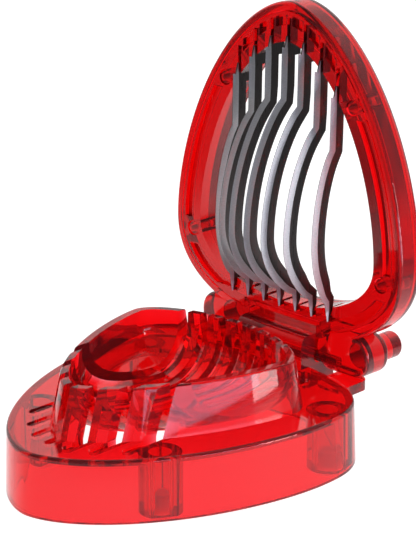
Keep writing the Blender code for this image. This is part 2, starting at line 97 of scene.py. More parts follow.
BLADE_X = [(place - len(SHAPES) // 2) * PITCH for place in range(len(SHAPES))]
TIP_REACH = (81.1, 80.3, 76.9, 71.5)    # the tip of each blade shape
TAIL_END = 11.2                         # the other end, near the hinge
to_base = Matrix.Translation((0, hinge_at.y - WIDE_TO_HINGE, 0))
to_lid = Matrix.Translation(hinge_at) @ Matrix.Rotation(-open_angle, 4, "X")
print("deck is", round(2 * DECK_HALF, 1), "mm across and", round(DECK_FRONT + DECK_REAR, 1), "mm long")

# %% [markdown]
# ## Outlines
# Every moulding here is a stack of outlines. An outline is a list of points, and the same few kinds serve
# the whole object: the egg, the slot with round ends, the rounded rectangle and the circle. Drawing them
# by formula keeps the curve true at any number of points.

# %% Outline helpers
def egg(half, front, rear, front_power, rear_power, centre_y=0.0, steps=220):
    points = []
    for step in range(steps):
        angle = 2 * math.pi * (step + 0.5) / steps
        across, along = math.cos(angle), math.sin(angle)
        power, reach = (rear_power, rear) if along > 0 else (front_power, front)
        x = half * math.copysign(abs(across) ** (2 / power), across)
        y = reach * math.copysign(abs(along) ** (2 / power), along)
        points.append((x, centre_y + y))
    return points


def slot(x, half, front, rear, steps=10):
    points = []
    for centre, start in ((rear - half, 0.0), (front + half, math.pi)):
        for step in range(steps + 1):
            angle = start + math.pi * step / steps
            points.append((x + half * math.cos(angle), centre + half * math.sin(angle)))
    return points


def rounded(x0, x1, y0, y1, radius, steps=8):
    points = []
    for x, y, in_x, in_y, start in ((x1, y1, -1, -1, 0), (x0, y1, 1, -1, 90),
                                    (x0, y0, 1, 1, 180), (x1, y0, -1, 1, 270)):
        for step in range(steps + 1):
            angle = math.radians(start + 90 * step / steps)
            points.append((x + in_x * radius + radius * math.cos(angle),
                           y + in_y * radius + radius * math.sin(angle)))
    return points


def circle(x, y, radius, steps=48):
    turns = [2 * math.pi * step / steps for step in range(steps)]
    return [(x + radius * math.cos(a), y + radius * math.sin(a)) for a in turns]


def egg_edge(x_or_y, half, reach, power):
    """Where an egg half crosses a line: one coordinate in, the other out."""
    return half * (1 - (abs(x_or_y) / reach) ** power) ** (1 / power)

# %% [markdown]
# ## From outlines to a moulding
# A mould is cut from a block, and the same steps work here. One outline is extruded up to the next, which
# gives a closed solid. Exact Booleans then add and remove solids. At the end each sharp edge gets a small
# radius, as on a real moulding, because clear plastic shows its edges as thin bright and dark lines, and
# those lines need a curved strip to live on.

# %% Solids, Booleans and edges
workshop = bpy.data.collections.new("workshop")
bpy.context.scene.collection.children.link(workshop)


def solid(name, rings, place=None, rounds=()):
    """A closed solid through outlines at rising heights; rounds lists (ring, width, segments) to bevel."""
    mesh = bmesh.new()
    outline, height = rings[0]
    verts = [mesh.verts.new((x, y, height)) for x, y in outline]
    face = mesh.faces.new(verts)
    ring_edges = [list(face.edges)]
    for outline, height in rings[1:]:
        face = bmesh.ops.extrude_discrete_faces(mesh, faces=[face])["faces"][0]
        for vert, (x, y) in zip(face.verts, outline):
            vert.co = (x, y, height)
        ring_edges.append(list(face.edges))
    mesh.faces.new(verts)
    bmesh.ops.recalc_face_normals(mesh, faces=mesh.faces)
    for ring, width, segments in rounds:
        bmesh.ops.bevel(mesh, geom=[e for e in ring_edges[ring] if e.is_valid], offset=width,
                        segments=segments, profile=0.5, affect="EDGES", clamp_overlap=True)
    bmesh.ops.transform(mesh, matrix=Matrix.Scale(MM, 4) @ (place or Matrix()), verts=mesh.verts)
    bmesh.ops.recalc_face_normals(mesh, faces=mesh.faces)
    return keep(name, mesh)


def keep(name, mesh):
    """Turn a bmesh into an object in the workshop."""
    data = bpy.data.meshes.new(name)
    mesh.to_mesh(data)
    mesh.free()
    made = bpy.data.objects.new(name, data)
    workshop.objects.link(made)
    return made


def settle(piece):
    """Turn a piece's modifiers into plain mesh."""
    ready = piece.evaluated_get(bpy.context.evaluated_depsgraph_get())
    data = bpy.data.meshes.new_from_object(ready)
    piece.modifiers.clear()
    piece.data = data


def shape(piece, operation, tools):
    """Join tools to a piece or cut them from it, all in one exact Boolean."""
    group = bpy.data.collections.new("tools")
    for tool in tools:
        group.objects.link(tool)
    step = piece.modifiers.new(operation, "BOOLEAN")
    step.operation, step.solver = operation, "EXACT"
    step.operand_type, step.collection = "COLLECTION", group
    settle(piece)
    for tool in tools:
        bpy.data.objects.remove(tool)
    bpy.data.collections.remove(group)


WELD = 0.01


def soften(piece, radius, angle=38):
    """Round every edge sharper than an angle, and shade the rest smooth."""
    weld = piece.modifiers.new("weld", "WELD")
    weld.merge_threshold = WELD * MM
    if radius:
        edge = piece.modifiers.new("edges", "BEVEL")
        edge.width, edge.segments = radius * MM, 2
        edge.limit_method, edge.angle_limit = "ANGLE", math.radians(angle)
        edge.miter_outer = "MITER_ARC"
    settle(piece)
    piece.data.shade_smooth()
    piece.data.set_sharp_from_angle(angle=math.radians(angle))
    piece.modifiers.new("normals", "WEIGHTED_NORMAL").keep_sharp = True
    print(piece.name, len(piece.data.polygons), "faces")

# %% [markdown]
# ## The base's shell
# The base is one moulding of general-purpose polystyrene: a skirt about 2 mm thick, a flat deck with a
# rounded edge, and an egg cup that rises from the deck. The cup's outer wall slopes, and the space between
# it and the bowl is open from below, so that all walls cool at the same rate in the mould. The hollow is
# made as one cutter, with the bowl's underside and the four foot bosses taken away from it first.

# %% Skirt, deck and cup
CUP_TOP = (27.0, 47.5, 12.9)            # half width, front and rear of the cup's top
CUP_FLARE = (2.2, 3.4, 2.3)             # how much each grows down to the deck
CUP_FRONT_POWER, CUP_REAR_POWER = 1.5, 1.8
DECK_EDGE, RIM_EDGE, CUP_EDGE = 0.8, 0.3, 0.5


def deck(grow=0.0):
    return egg(DECK_HALF + grow, DECK_FRONT + grow, DECK_REAR + grow, FRONT_POWER, REAR_POWER)


def cup(height, inset=0.0):
    flare = (CUP_TOP_Z - height) / (CUP_TOP_Z - DECK_Z)
    half, front, rear = (size + growth * flare - inset for size, growth in zip(CUP_TOP, CUP_FLARE))
    return egg(half, front, rear, CUP_FRONT_POWER, CUP_REAR_POWER)


tray = solid("tray_moulding", [(deck(SKIRT_DRAFT), RIM_Z), (deck(), DECK_Z)], to_base,
             ((1, DECK_EDGE, 4), (0, RIM_EDGE, 2)))
cup_block = solid("cup", [(cup(DECK_Z), DECK_Z - WALL / 2), (cup(DECK_Z), DECK_Z),
                          (cup(CUP_TOP_Z), CUP_TOP_Z)], to_base, ((2, CUP_EDGE, 3),))
shape(tray, "UNION", [cup_block])
print("cup stands", round(CUP_TOP_Z - DECK_Z, 1), "mm above the deck")

# %% [markdown]
# ## The bowl
# The bowl takes the egg. It is a stack of shrinking copies of the cup's rim that ends in a rounded bottom,
# and the same function gives its inside and, with a wall added, its underside. A superellipse sets how
# fast the copies shrink, which makes the bottom flatter than a half ball, as the blades' bulge needs.

# %% Bowl
CUP_WALL = 2.4
BOWL_CENTRE, BOWL_DEPTH, BOWL_POWER, BOWL_RINGS = -6.0, 15.8, 2.6, 18
BOTTOM_RING, RIM_RING = 0.35, 0.65      # the lowest ring's place, and how far the last one is past the rim


def bowl(wall, rim_z):
    """Rings of the bowl, bottom first. A wall of 0 gives its inside."""
    rim = cup(CUP_TOP_Z, CUP_WALL - wall)
    rings = []
    for ring in range(BOWL_RINGS):
        turn = math.pi / 2 * (ring + BOTTOM_RING) / (BOWL_RINGS - RIM_RING)
        shrink = math.sin(turn) ** (2 / BOWL_POWER)
        drop = math.cos(turn) ** (2 / BOWL_POWER) if ring < BOWL_RINGS - 1 else 0.0
        outline = [(x * shrink, BOWL_CENTRE + (y - BOWL_CENTRE) * shrink) for x, y in rim]
        rings.append((outline, CUP_TOP_Z - (BOWL_DEPTH + wall) * drop))
    return rings + [(rim, rim_z)]


bowl_cut = solid("bowl", bowl(0.0, CUP_TOP_Z + CUT), to_base)
print("bowl is", BOWL_DEPTH, "mm deep")

# %% Hollow under the deck, with the bowl and the bosses left standing
BOWL_WALL, CUP_ROOF = 2.16, 5.28
BOSS_RADIUS, BOSS_FOOT_Z, BORE_RADIUS = 5.2, 1.2, 2.75
ceiling = DECK_Z - WALL
cup_hollow_top = CUP_TOP_Z - CUP_ROOF
feet = {name: (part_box(name)[0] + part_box(name)[1]) / 2 / MM
        for name in ("foot_front_left", "foot_front_right", "foot_rear_left", "foot_rear_right")}


def upright_rods(name, radius, low, high):
    """One round rod at each foot."""
    return [solid(name, [(circle(at.x, at.y, radius), low), (circle(at.x, at.y, radius), high)])
            for at in feet.values()]


hollow = solid("hollow", [(deck(SKIRT_DRAFT - WALL), RIM_Z - CUT), (deck(-WALL), ceiling)], to_base)
cup_hollow = solid("cup_hollow", [(cup(DECK_Z, CUP_WALL), ceiling - WALL), (cup(DECK_Z, CUP_WALL), DECK_Z),
                                  (cup(cup_hollow_top, CUP_WALL), cup_hollow_top)], to_base)
shape(hollow, "UNION", [cup_hollow])
bowl_under = solid("bowl_under", bowl(BOWL_WALL, CUP_TOP_Z + CUT), to_base)
shape(hollow, "DIFFERENCE", [bowl_under] + upright_rods("boss", BOSS_RADIUS, BOSS_FOOT_Z, DECK_Z))
shape(tray, "DIFFERENCE", [hollow])
shape(tray, "DIFFERENCE", [bowl_cut] + upright_rods("bore", BORE_RADIUS, RIM_Z - CUT, ceiling))
print("walls are", WALL, "mm thick, with", len(feet), "bosses under the deck")

# %% [markdown]
# ## The base's knuckle, stops and blade slots
# Between the lid's cheeks the base carries a square knuckle with round corners for the steel pin. Two
# flat tabs behind the deck stop the opened lid. Seven slots with round ends are then cut right through the
# cup and the deck, and what is left between them are the comb fingers that push the slices off the
# blades. The slots come last, so that one cut passes through every wall in its way.

# %% Knuckle, tabs and slots
def bar(name, x0, x1, radius, place, steps=64, rounds=()):
    lie_down = Matrix.Rotation(math.radians(90), 4, "Y")
    return solid(name, [(circle(0, 0, radius, steps), x0), (circle(0, 0, radius, steps), x1)],
                 place @ lie_down, rounds)


at_axis = Matrix.Translation(hinge_at)
KNUCKLE_HALF, KNUCKLE_CORNER = 11.2, 2.5
KNUCKLE_TOP, KNUCKLE_REAR, KNUCKLE_FRONT = 6.4, 5.7, 6.6      # from the hinge axis
KNUCKLE_DROP = 7.0                                            # below the deck, so that it joins the wall
knuckle_side = rounded(DECK_Z - KNUCKLE_DROP - hinge_at.z, KNUCKLE_TOP, -KNUCKLE_REAR, KNUCKLE_FRONT,
                       KNUCKLE_CORNER)
along_x = Matrix(((0, 0, 1, 0), (0, -1, 0, 0), (1, 0, 0, 0), (0, 0, 0, 1)))
knuckle = solid("knuckle", [(knuckle_side, -KNUCKLE_HALF), (knuckle_side, KNUCKLE_HALF)], at_axis @ along_x)
shape(tray, "UNION", [knuckle])

TAB_INNER, TAB_OUTER, TAB_BACK = 17.5, 26.5, 30.2
TAB_ROOT, TAB_CORNER, TAB_THICK, TAB_DROP = 6.0, 2.5, 2.6, 2.7
tab_top = hinge_at.z - TAB_DROP
tabs = []
for side in (-1, 1):
    near, far = sorted((side * TAB_INNER, side * TAB_OUTER))
    outline = rounded(near, far, DECK_REAR - TAB_ROOT, TAB_BACK, TAB_CORNER)
    tabs.append(solid("tab", [(outline, tab_top - TAB_THICK), (outline, tab_top)], to_base))
shape(tray, "UNION", tabs)

SLOT_HALF, SLOT_PAST_TIP, SLOT_REAR = 1.15, 1.5, 18.4
MOULD_EDGE = 0.22
slots = []
for x, kind in zip(BLADE_X, SHAPES):
    outline = slot(x, SLOT_HALF, WIDE_TO_HINGE - TIP_REACH[kind] - SLOT_PAST_TIP, SLOT_REAR)
    slots.append(solid("slot", [(outline, RIM_Z - CUT), (outline, CUP_TOP_Z + CUT)], to_base))
bore_end = KNUCKLE_HALF + 2 * CUT
shape(tray, "DIFFERENCE", slots + [bar("pin_bore", -bore_end, bore_end, PIN_BORE, at_axis)])
soften(tray, MOULD_EDGE)

# %% [markdown]
# ## The lid
# The lid is drawn closed, lying on the deck, and is then turned up about the hinge. Its outer moulding is a
# shallow channel that follows the egg outline, with two solid cheeks for the pin and two pegs behind them.
# A second ring is pressed into the channel. It clamps the blades, and it has pockets in its face for the
# same reason that the base is hollow: even walls cool evenly. The channel is cut first and the cheeks are
# joined on afterwards, so that the cut can't hollow them out.

# %% Outlines of the lid
LID_WALL, LID_BACK, LID_EDGE, BACK_EDGE = 2.2, 1.8, 0.9, 2.6
APERTURE_HALF, APERTURE_FRONT, APERTURE_REAR = 29.8, 51.4, 15.8
APERTURE_FRONT_POWER, APERTURE_REAR_POWER = 1.75, 2.1
CHEEK_GAP, CHEEK_OUTER, CHEEK_REACH, CHEEK_BACK, CHEEK_CORNER, CHEEK_EDGE = 0.5, 28.9, 8.3, 2.2, 4.9, 1.2
NOTCH_REACH, NOTCH_WALL, NOTCH_BACK = 8.5, 1.2, 10


def lid_egg(inset=0.0):
    return egg(LID_HALF - inset, LID_FRONT - inset, LID_REAR - inset, FRONT_POWER, LID_REAR_POWER,
               -WIDE_TO_HINGE)


def aperture():
    return egg(APERTURE_HALF, APERTURE_FRONT, APERTURE_REAR, APERTURE_FRONT_POWER, APERTURE_REAR_POWER,
               -WIDE_TO_HINGE)


def between_cheeks(wall):
    half, reach = KNUCKLE_HALF + CHEEK_GAP + wall, -NOTCH_REACH - wall
    return [(half, reach), (half, NOTCH_BACK), (-half, NOTCH_BACK), (-half, reach)]


def cheek_outline(side, grow=0.0):
    near, far = sorted((side * (KNUCKLE_HALF + CHEEK_GAP - grow), side * (CHEEK_OUTER + grow)))
    return rounded(near, far, -CHEEK_REACH - grow, CHEEK_BACK + grow, CHEEK_CORNER + grow)


def lid_block(name, outline, low, high, rounds=()):
    """A solid of one outline in the lid, from one height to another."""
    return solid(name, [(outline, low), (outline, high)], to_lid, rounds)

# %% Channel with a notch for the knuckle
shell = lid_block("lid_moulding", lid_egg(), LID_FACE, LID_TOP, ((0, LID_EDGE, 3), (1, BACK_EDGE, 6)))
shape(shell, "DIFFERENCE", [lid_block("notch", between_cheeks(0), LID_FACE - CUT, LID_TOP + CUT)])
channel = lid_block("channel", lid_egg(LID_WALL), LID_FACE - CUT, LID_TOP - LID_BACK)
shape(channel, "DIFFERENCE", [lid_block("notch_wall", between_cheeks(NOTCH_WALL),
                                        LID_FACE - 2 * CUT, LID_TOP)])
shape(shell, "DIFFERENCE", [channel])

# %% Cheeks, pegs, posts and openings of the lid
PEG_X, PEG_REACH, PEG_RADIUS, PEG_LENGTH, PEG_ROOT, PEG_EDGE = 22.1, 2.1, 3.5, 9.0, 2.0, 0.6
POST_RADIUS, POST_PLACES = 1.7, ((32.3, 24.3), (21.4, 66.8))      # (aside, reach)
BLIND_END = 18.8                        # where the pin's bore ends in the right-hand cheek
posts = [(side * x, -reach) for x, reach in POST_PLACES for side in (-1, 1)]
for side in (-1, 1):
    peg = circle(side * PEG_X, -PEG_REACH, PEG_RADIUS)
    shape(shell, "UNION", [lid_block("cheek", cheek_outline(side), LID_FACE, LID_TOP,
                                     ((0, CHEEK_EDGE, 4), (1, CHEEK_EDGE, 4)))])
    shape(shell, "UNION", [lid_block("peg", peg, LID_TOP - PEG_ROOT, LID_TOP + PEG_LENGTH,
                                     ((1, PEG_EDGE, 3),))])
shape(shell, "UNION", [lid_block("post", circle(x, y, POST_RADIUS), LID_FACE + GAP, LID_TOP - LID_BACK / 2)
                       for x, y in posts])
shape(shell, "DIFFERENCE", [lid_block("aperture", aperture(), LID_FACE - CUT, LID_TOP + CUT),
                            bar("lid_pin_bore", -CHEEK_OUTER - CUT, BLIND_END, PIN_BORE, to_lid)])
soften(shell, MOULD_EDGE)

# %% [markdown]
# ## The ring in the lid
# The ring fills the channel with a small gap all round, and its holes slip over the lid's posts. Pockets in
# its face follow the outline: two long ones on each side, and a short one between each pair of blade tips.
# Each pocket is drawn between two copies of the outline, one further in than the other, so its wall stays
# even. Seven thin slots hold the blades.

# %% Pockets of the ring
POCKET_INSETS = ((3.4, 1), (5.9, -1))   # outer and inner line, and the order in which each is walked
SIDE_SPANS = ((11.5, 20.2), (27.2, 64.0))
POCKET_DEPTH, TIP_LAND, RING_EDGE = 1.2, 1.1, 0.15


def side_pocket(side, near, far, steps=24):
    points = []
    for inset, order in POCKET_INSETS:
        line = []
        for step in range(steps + 1):
            y = WIDE_TO_HINGE - near - (far - near) * step / steps
            reach, power = (LID_REAR, LID_REAR_POWER) if y > 0 else (LID_FRONT, FRONT_POWER)
            line.append((side * egg_edge(y, LID_HALF - inset, reach - inset, power), y - WIDE_TO_HINGE))
        points += line[::order]
    return points


def tip_pocket(x0, x1, steps=6):
    points = []
    for inset, order in POCKET_INSETS:
        line = []
        for step in range(steps + 1):
            x = x0 + (x1 - x0) * step / steps
            line.append((x, -egg_edge(x, LID_FRONT - inset, LID_HALF - inset, FRONT_POWER) - WIDE_TO_HINGE))
        points += line[::order]
    return points


pockets = [side_pocket(side, *span) for side in (-1, 1) for span in SIDE_SPANS]
pockets += [tip_pocket(left + TIP_LAND, right - TIP_LAND) for left, right in zip(BLADE_X, BLADE_X[1:])]
print(len(pockets), "pockets,", POCKET_DEPTH, "mm deep")

# %% Ring
TANG_REACH, TANG_BACK, TANG_SLOT_HALF = 4.0, 4.3, 0.55        # past the blade's tip; behind the lid's face
ring_top = LID_TOP - LID_BACK - GAP
ring = lid_block("blade_ring", lid_egg(LID_WALL + GAP), LID_FACE, ring_top)
shape(ring, "DIFFERENCE", [lid_block("ring_hole", aperture(), LID_FACE - CUT, LID_TOP + CUT)])
shape(ring, "DIFFERENCE", [lid_block("ring_notch", between_cheeks(NOTCH_WALL + GAP),
                                     LID_FACE - 2 * CUT, LID_TOP)])
cutters = [lid_block("post_hole", circle(x, y, POST_RADIUS + GAP), LID_FACE - CUT, ring_top + CUT)
           for x, y in posts]
cutters += [lid_block("cheek_room", cheek_outline(side, GAP), LID_FACE - CUT, ring_top + CUT)
            for side in (-1, 1)]
cutters += [lid_block("pocket", pocket, LID_FACE - CUT, LID_FACE + POCKET_DEPTH) for pocket in pockets]
for x, kind in zip(BLADE_X, SHAPES):
    left, right = x - TANG_SLOT_HALF, x + TANG_SLOT_HALF
    tip_end, tail_end = -(TIP_REACH[kind] + TANG_REACH + GAP), -(TAIL_END - GAP)
    outline = [(right, tip_end), (right, tail_end), (left, tail_end), (left, tip_end)]
    cutters.append(lid_block("blade_slot", outline, LID_FACE - CUT, LID_FACE + TANG_BACK + GAP))
shape(ring, "DIFFERENCE", cutters)
soften(ring, RING_EDGE)

# %% [markdown]
# ## The blades
# Each blade is a stainless strip 0.5 mm thick and 4.6 mm wide, stamped so that it bulges out to follow the
# bowl. About two fifths of its width is ground down to the cutting edge on both sides. The strip is built
# as columns of points that run from the tail to the tip: the edge, the middle of the ground band, the line
# where the grind stops, and the back. The tip is cut hollow, which leaves a small horn beside the grind.
# A tang goes on from there into the ring and holds the blade.

# %% One blade
BULGE_PROUD = (14.8, 14.4, 12.2, 7.9)   # how far each shape's crown stands out of the lid's face
BULGE_TOP = (65.6, 64.6, 60.5, 55.6)    # where each shape's bulge ends, towards the tip
BULGE_CENTRE, BULGE_HEEL, BULGE_POWER = 33.0, 17.0, 0.8
HEEL_STEPS, TOP_STEPS, STRAIGHT_STEPS = 18, 22, 5
PROUD, WIDTH, TAIL_WIDTH, TAPER = 2.3, 4.6, 0.5, 9.0
TAIL_RISE = ((0.0, 1.4), (2.6, 1.95))   # (along, out of the face): the tail dips into the ring
COLUMNS = ((0.0, 0.05), (0.2, 0.15), (0.42, 0.25), (1.0, 0.25))   # (share of the width, half thickness)
TIP_CORNER = 2.6                        # the edge stops this far short of the tip
TIP_POINTS = ((2.8, 0.2), (0.0, 0.36), (0.6, 1.0))            # (short of the tip, share of the width)


def cutting_edge(kind):
    """Points (reach, height out of the lid's face) from the tail to the tip."""
    crown = BULGE_PROUD[kind] - PROUD
    points = [(TAIL_END + along, out) for along, out in TAIL_RISE] + [(BULGE_CENTRE - BULGE_HEEL, PROUD)]
    halves = ((BULGE_HEEL, -1.0, HEEL_STEPS), (BULGE_TOP[kind] - BULGE_CENTRE, 0.0, TOP_STEPS))
    for half, start, count in halves:
        for step in range(1, count + 1):
            share = start + step / count
            points.append((BULGE_CENTRE + half * share,
                           PROUD + crown * max(1 - share ** 2, 0) ** BULGE_POWER))
    last = points[-1][0]
    run = TIP_REACH[kind] - TIP_CORNER - last
    return points + [(last + run * step / STRAIGHT_STEPS, PROUD) for step in range(1, STRAIGHT_STEPS + 1)]


def strip(kind):
    """Four columns of points along the strip: edge, middle of the grind, end of the grind, back."""
    edge = cutting_edge(kind)
    columns = [[], [], [], []]
    for index, (reach, height) in enumerate(edge):
        before, after = edge[max(index - 1, 0)], edge[min(index + 1, len(edge) - 1)]
        along = Vector((after[0] - before[0], after[1] - before[1])).normalized()
        narrow = min(max((reach - TAIL_END) / TAPER, 0.0), 1.0)
        width = TAIL_WIDTH + (WIDTH - TAIL_WIDTH) * narrow ** 0.6
        for column, (share, _) in zip(columns, COLUMNS):
            column.append((reach + along.y * width * share, height - along.x * width * share))
    for column, (short, share) in zip(columns[1:], TIP_POINTS):
        column[-1] = (TIP_REACH[kind] - short, PROUD - WIDTH * share)
    return columns

# %% Strip and tang as one solid
FLAT, BAND = "stainless_flat_painted_shade", "stainless_band_painted_highlight"
blade_finishes = [bpy.data.materials.new(name) for name in (FLAT, BAND)]
TANG_HALF, TANG_ROOT, EDGE_ANGLE = 0.22, 5.2, 8
# The tang's outline near the tip: (past the tip, out of the lid's face).
TANG = ((-TANG_ROOT, -0.6), (-1.4, -0.6), (-0.9, -0.4), (TANG_REACH, -1.2),
        (TANG_REACH, -TANG_BACK), (-TANG_ROOT, -TANG_BACK))


def blade(name, x, kind):
    mesh = bmesh.new()
    sides = []
    for side in (1, -1):
        rows = [[mesh.verts.new((x + side * half, -reach, LID_FACE - height)) for reach, height in column]
                for column, (_, half) in zip(strip(kind), COLUMNS)]
        for band, (first, second) in enumerate(zip(rows, rows[1:])):
            for a, b, c, d in zip(first, first[1:], second[1:], second):
                quad = (a, b, c, d) if side < 0 else (d, c, b, a)
                mesh.faces.new(quad).material_index = int(band < 2)
        sides.append(rows)
    for index in range(len(sides[0][0]) - 1):
        for column, flip in ((0, False), (3, True)):
            quad = [sides[0][column][index], sides[0][column][index + 1],
                    sides[1][column][index + 1], sides[1][column][index]]
            mesh.faces.new(quad[::-1] if flip else quad)
    for end in (0, -1):
        for first, second in ((0, 1), (1, 2), (2, 3)):
            mesh.faces.new((sides[0][first][end], sides[0][second][end],
                            sides[1][second][end], sides[1][first][end]))
    bmesh.ops.transform(mesh, matrix=Matrix.Scale(MM, 4) @ to_lid, verts=mesh.verts)
    bmesh.ops.recalc_face_normals(mesh, faces=mesh.faces)
    made = keep(name, mesh)
    for finish in blade_finishes:
        made.data.materials.append(finish)
    tang = [(TIP_REACH[kind] + past, out) for past, out in TANG]
    upright = Matrix(((0, 0, 1, 0), (-1, 0, 0, 0), (0, -1, 0, LID_FACE), (0, 0, 0, 1)))
    shape(made, "UNION", [solid("tang", [(tang, x - TANG_HALF), (tang, x + TANG_HALF)], to_lid @ upright)])
    made.data.shade_smooth()
    made.data.set_sharp_from_angle(angle=math.radians(EDGE_ANGLE))
    return made


blades = [blade(f"steel_blade_{number}", x, kind)
          for number, (x, kind) in enumerate(zip(BLADE_X, SHAPES), 1)]
print(len(blades), "blades,", PITCH, "mm apart")

# %% [markdown]
# ## Pin and feet
# The pin is a piece of drawn steel wire with chamfered ends, pushed in from the left. The feet are small
# plugs of clear silicone with a rounded pad, so the slicer stays put while the lid is pressed down.

# %% Pin and feet
PIN_CHAMFER = 0.3
pin_low, pin_high = (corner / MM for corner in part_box("hinge_pin"))
pin = bar("steel_pin", pin_low.x, pin_high.x, (pin_high.z - pin_low.z) / 2, at_axis, 40,
          ((0, PIN_CHAMFER, 2), (1, PIN_CHAMFER, 2)))
soften(pin, 0)
# The foot's rounded pad, then its neck and its plug: (radius, height).
FOOT_RINGS = ((3.6, 0.0), (3.88, 0.1), (4.0, 0.35), (4.0, 0.6), (3.88, 0.82), (3.6, 0.9),
              (2.6, 0.95), (2.45, 1.2), (2.45, 5.6), (2.2, 5.9))
pads = {}
for name, at in feet.items():
    pads[name] = solid("soft_" + name, [(circle(at.x, at.y, radius, 40), z) for radius, z in FOOT_RINGS])
    soften(pads[name], 0)

# %% [markdown]
# ## Finishes: two small tools
# Colours are written as sRGB hex values, as in any paint program, and one function turns them to the linear
# values that the shader needs. Another small function adds a node with its settings and its links. A
# noise texture's scale is the number of its features in a metre, so it is worked out from their size.

# %% Colour and node helpers
def colour(code):
    parts = [int(code[i:i + 2], 16) / 255 for i in (1, 3, 5)]
    return tuple(c / 12.92 if c <= 0.04045 else ((c + 0.055) / 1.055) ** 2.4 for c in parts) + (1.0,)


def node(tree, kind, settings=None, links=None):
    """Add a node; settings are its properties or input values, links name what feeds its inputs."""
    made = tree.nodes.new("ShaderNode" + kind)
    for key, value in (settings or {}).items():
        if isinstance(key, str) and hasattr(made, key):
            setattr(made, key, value)
        else:
            made.inputs[key].default_value = value
    for key, source in (links or {}).items():
        tree.links.new(source, made.inputs[key])
    return made


def per_metre(size):
    """A noise scale for features of this size in millimetres."""
    return 1 / (size * MM)


def new_material(name):
    made = bpy.data.materials.get(name) or bpy.data.materials.new(name)
    made.use_nodes = True
    made.node_tree.nodes.clear()
    return made, made.node_tree

# %% [markdown]
# ## Red polystyrene
# General-purpose polystyrene is a clear, hard, glossy plastic. Dye makes it red all the way through, so
# its colour belongs in the volume: thin walls glow bright red, and long paths along a wall go to maroon.
# Its real IOR is 1.59. At that value the flat ends of the slots turn all light away and show as flat grey
# patches, which the real slicer doesn't have. The IOR is therefore set to 1.4, so that they let light
# through, and the surface is given more shine to make up for it. A little of the light is scattered at the
# skin, which keeps the darkest edges maroon. The mould is polished, which leaves slight flow waves about
# 9 mm long and 0.01 mm high. Scuffs from use show as a small change in roughness. Real ones are finer than
# can be shown, so they are drawn 0.4 mm wide.

# %% Red polystyrene, moulded
FLOW_WAVE, WAVE_HEIGHT, SCUFF = 9.09, 0.01, 0.3846
PLASTIC_IOR, PLASTIC_SHINE, CLEAR_SHARE = 1.4, 0.9, 0.93
DYE_DENSITY = 1500.0                    # per metre, for a colour that the dye blocks altogether
red, tree = new_material("red_polystyrene_moulded")
place = node(tree, "TexCoord")
waves = node(tree, "TexNoise", {"Scale": per_metre(FLOW_WAVE), "Detail": 1.0, "Roughness": 0.4},
             {"Vector": place.outputs["Object"]})
stretch = node(tree, "Mapping", {"Scale": (1.0, 0.12, 0.12), "Rotation": (0.2, 0.5, 0.6)},
               {"Vector": place.outputs["Object"]})
scuffs = node(tree, "TexNoise", {"Scale": per_metre(SCUFF), "Detail": 3.0, "Roughness": 0.6},
              {"Vector": stretch.outputs["Vector"]})
worn = node(tree, "MapRange", {"From Min": 0.55, "From Max": 0.8, "To Min": 0.035, "To Max": 0.11},
            {"Value": scuffs.outputs["Fac"]})
bump = node(tree, "Bump", {"Strength": 0.35, "Distance": WAVE_HEIGHT * MM}, {"Height": waves.outputs["Fac"]})
skin = node(tree, "BsdfPrincipled", {"Base Color": colour("#FF6976"), "IOR": PLASTIC_IOR,
                                     "Transmission Weight": CLEAR_SHARE, "Specular IOR Level": PLASTIC_SHINE},
            {"Roughness": worn.outputs["Result"], "Normal": bump.outputs["Normal"]})
dye = node(tree, "VolumeAbsorption", {"Color": colour("#FC2761"), "Density": DYE_DENSITY})
node(tree, "OutputMaterial", {}, {"Surface": skin.outputs["BSDF"], "Volume": dye.outputs["Volume"]})
print("dye blocks green with", round(DYE_DENSITY * (1 - colour("#FC2761")[1]) * MM, 2), "per mm")

# %% [markdown]
# ## Stainless steel, rolled and ground
# The strips are hardened stainless steel. Rolling leaves the flats satin, with faint lines along the strip;
# their dark grey colour is painted shade, darker than the steel itself, for the dim room that they mirror.
# Grinding leaves the edge band rougher, with a grain across the band; its brighter, near-white colour is
# partly the steel and partly a painted highlight. The pin is drawn through a die, which leaves fine lines
# along it.
# Real marks are a few hundredths of a millimetre apart. That is too fine to show, so the grain is drawn 0.2
# to
# 0.4 mm wide.

# %% Stainless steel
def steel(name, dark, light, roughness, grain, stretch_by, height):
    """Marked steel: grain is the width of a mark and height its depth, in millimetres."""
    made, tree = new_material(name)
    place = node(tree, "TexCoord")
    turned = node(tree, "Mapping", {"Scale": stretch_by}, {"Vector": place.outputs["Object"]})
    marks = node(tree, "TexNoise", {"Scale": per_metre(grain), "Detail": 4.0, "Roughness": 0.65},
                 {"Vector": turned.outputs["Vector"]})
    tint = node(tree, "MixRGB", {"Color1": colour(dark), "Color2": colour(light)},
                {"Fac": marks.outputs["Fac"]})
    rough = node(tree, "MapRange", {"To Min": roughness[0], "To Max": roughness[1]},
                 {"Value": marks.outputs["Fac"]})
    bump = node(tree, "Bump", {"Strength": 0.6, "Distance": height * MM}, {"Height": marks.outputs["Fac"]})
    metal = node(tree, "BsdfPrincipled", {"Metallic": 1.0},
                 {"Base Color": tint.outputs["Color"], "Roughness": rough.outputs["Result"],
                  "Normal": bump.outputs["Normal"]})
    node(tree, "OutputMaterial", {}, {"Surface": metal.outputs["BSDF"]})
    return made


# The flats' dark grey is painted shade; the band's near-white is partly real steel and partly a painted
# highlight.
rolled = steel(FLAT, "#565252", "#686464", (0.22, 0.36), 0.3333, (1.0, 1.0, 0.08), 0.002)
ground = steel(BAND, "#B9BBC0", "#F2F4F8", (0.38, 0.56), 0.1923, (1.0, 0.25, 1.0), 0.012)
drawn = steel("stainless_drawn_wire", "#8C8A8A", "#A6A4A4", (0.2, 0.35), 0.4, (0.1, 1.0, 1.0), 0.002)

